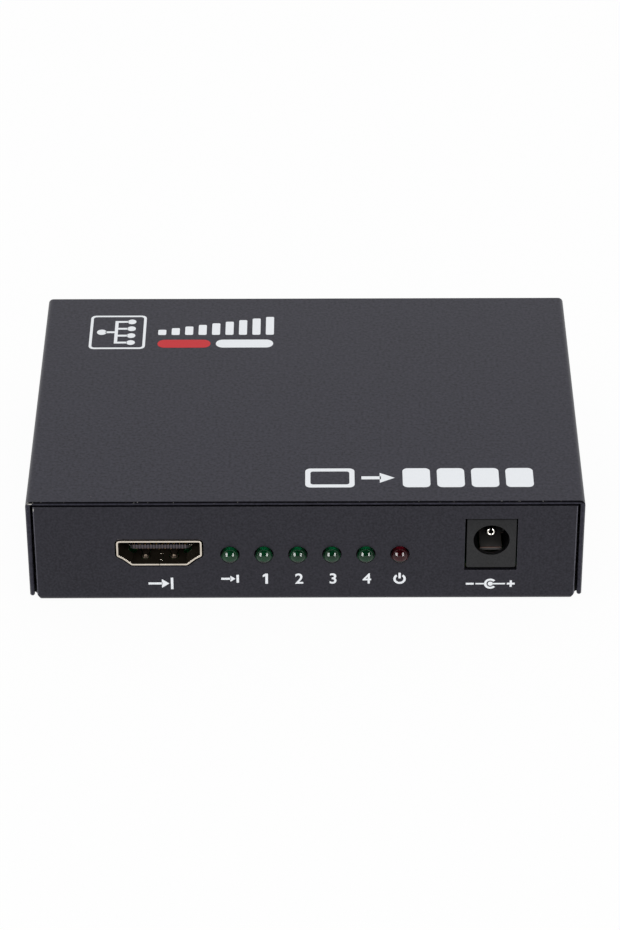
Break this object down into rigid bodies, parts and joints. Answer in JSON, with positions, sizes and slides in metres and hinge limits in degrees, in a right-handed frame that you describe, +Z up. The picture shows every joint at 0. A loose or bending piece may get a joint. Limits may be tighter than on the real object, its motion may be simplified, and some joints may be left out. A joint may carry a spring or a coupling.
{
  "type": "video splitter",
  "caption": "Flat folded-metal box that repeats one digital video input to several outputs, with status lamps and a power socket in its front panel.",
  "frame": {"origin": "middle of the case's underside", "axes": "+Z up, +X along the case's width, front panel with the input and lamps towards -Y"},
  "size_m": [0.0988, 0.0686, 0.0213],
  "materials": {
    "case_paint": "fine powder coat, near black",
    "screw_black": "black oxide",
    "standoff_nickel": "nickel plate",
    "screw_zinc": "zinc plate",
    "board_mask": "green solder mask",
    "socket_metal": "satin nickel plate",
    "socket_plastic": "moulded black",
    "contact_gold": "gold flash",
    "lamp_green": "tinted clear resin",
    "lamp_red": "tinted clear resin",
    "tinned_lead": "tin plate",
    "jack_plastic": "moulded black",
    "jack_metal": "nickel plate",
    "jack_leaf": "plated spring bronze",
    "chip_epoxy": "moulded epoxy",
    "crystal_metal": "drawn can",
    "can_aluminium": "satin can",
    "ferrite": "ferrite block",
    "ceramic": "fired ceramic",
    "resistor_film": "glazed film"
  },
  "bodies": {
    "tray": {"base_tray": "case_paint", "cover_screws": "screw_black", "board_standoffs": "standoff_nickel", "board_screws": "screw_zinc", "circuit_board": "board_mask", "lamp_leads": "tinned_lead", "jack_housing": "jack_plastic", "jack_pin": "jack_metal", "jack_pin_terminal": "jack_metal", "jack_leaf_terminal": "jack_metal", "jack_shunt_contact": "jack_metal", "splitter_chip": "chip_epoxy", "splitter_chip_leads": "tinned_lead", "memory_chips": "chip_epoxy", "memory_chip_leads": "tinned_lead", "voltage_regulators": "chip_epoxy", "regulator_leads": "tinned_lead", "crystal_can": "crystal_metal", "capacitor_cans": "can_aluminium", "capacitor_bases": "socket_plastic", "power_inductor": "ferrite", "polarity_diode": "chip_epoxy", "chip_capacitors": "ceramic", "chip_resistors": "resistor_film", "lamp_input": "lamp_green", "lamp_output_1": "lamp_green", "lamp_output_2": "lamp_green", "lamp_output_3": "lamp_green", "lamp_output_4": "lamp_green", "lamp_power": "lamp_red", "input_shell": "socket_metal", "input_insulator": "socket_plastic", "input_contacts": "contact_gold", "output_1_shell": "socket_metal", "output_1_insulator": "socket_plastic", "output_1_contacts": "contact_gold", "output_2_shell": "socket_metal", "output_2_insulator": "socket_plastic", "output_2_contacts": "contact_gold", "output_3_shell": "socket_metal", "output_3_insulator": "socket_plastic", "output_3_contacts": "contact_gold", "output_4_shell": "socket_metal", "output_4_insulator": "socket_plastic", "output_4_contacts": "contact_gold"},
    "cover": {"top_cover": "case_paint"},
    "jack_leaf": {"jack_leaf_spring": "jack_leaf"},
    "input_lower_fingers": {"input_lower_springs": "socket_metal"},
    "input_upper_fingers": {"input_upper_springs": "socket_metal"},
    "output_1_lower_fingers": {"output_1_lower_springs": "socket_metal"},
    "output_1_upper_fingers": {"output_1_upper_springs": "socket_metal"},
    "output_2_lower_fingers": {"output_2_lower_springs": "socket_metal"},
    "output_2_upper_fingers": {"output_2_upper_springs": "socket_metal"},
    "output_3_lower_fingers": {"output_3_lower_springs": "socket_metal"},
    "output_3_upper_fingers": {"output_3_upper_springs": "socket_metal"},
    "output_4_lower_fingers": {"output_4_lower_springs": "socket_metal"},
    "output_4_upper_fingers": {"output_4_upper_springs": "socket_metal"}
  },
  "joints": [
    {"name": "cover_lift", "type": "slide", "parent": "tray", "child": "cover", "axis": [0, 0, 1], "range_m": [0, 0.04]},
    {"name": "jack_leaf_flex", "type": "hinge", "parent": "tray", "child": "jack_leaf", "pos_m": [0.03245, -0.0239, 0.00925], "axis": [1, 0, 0], "range_deg": [0, 5], "stiffness_Nm_per_rad": 0.08},
    {"name": "input_lower_flex", "type": "hinge", "parent": "tray", "child": "input_lower_fingers", "pos_m": [-0.02555, -0.0273, 0.008], "axis": [1, 0, 0], "range_deg": [0, 4], "stiffness_Nm_per_rad": 0.05},
    {"name": "input_upper_flex", "type": "hinge", "parent": "tray", "child": "input_upper_fingers", "pos_m": [-0.02555, -0.0273, 0.0129], "axis": [-1, 0, 0], "range_deg": [0, 4], "stiffness_Nm_per_rad": 0.05},
    {"name": "output_1_lower_flex", "type": "hinge", "parent": "tray", "child": "output_1_lower_fingers", "pos_m": [0.033, 0.0275, 0.008], "axis": [-1, 0, 0], "range_deg": [0, 4], "stiffness_Nm_per_rad": 0.05},
    {"name": "output_1_upper_flex", "type": "hinge", "parent": "tray", "child": "output_1_upper_fingers", "pos_m": [0.033, 0.0275, 0.0129], "axis": [1, 0, 0], "range_deg": [0, 4], "stiffness_Nm_per_rad": 0.05},
    {"name": "output_2_lower_flex", "type": "hinge", "parent": "tray", "child": "output_2_lower_fingers", "pos_m": [0.011, 0.0275, 0.008], "axis": [-1, 0, 0], "range_deg": [0, 4], "stiffness_Nm_per_rad": 0.05},
    {"name": "output_2_upper_flex", "type": "hinge", "parent": "tray", "child": "output_2_upper_fingers", "pos_m": [0.011, 0.0275, 0.0129], "axis": [1, 0, 0], "range_deg": [0, 4], "stiffness_Nm_per_rad": 0.05},
    {"name": "output_3_lower_flex", "type": "hinge", "parent": "tray", "child": "output_3_lower_fingers", "pos_m": [-0.011, 0.0275, 0.008], "axis": [-1, 0, 0], "range_deg": [0, 4], "stiffness_Nm_per_rad": 0.05},
    {"name": "output_3_upper_flex", "type": "hinge", "parent": "tray", "child": "output_3_upper_fingers", "pos_m": [-0.011, 0.0275, 0.0129], "axis": [1, 0, 0], "range_deg": [0, 4], "stiffness_Nm_per_rad": 0.05},
    {"name": "output_4_lower_flex", "type": "hinge", "parent": "tray", "child": "output_4_lower_fingers", "pos_m": [-0.033, 0.0275, 0.008], "axis": [-1, 0, 0], "range_deg": [0, 4], "stiffness_Nm_per_rad": 0.05},
    {"name": "output_4_upper_flex", "type": "hinge", "parent": "tray", "child": "output_4_upper_fingers", "pos_m": [-0.033, 0.0275, 0.0129], "axis": [1, 0, 0], "range_deg": [0, 4], "stiffness_Nm_per_rad": 0.05}
  ]
}
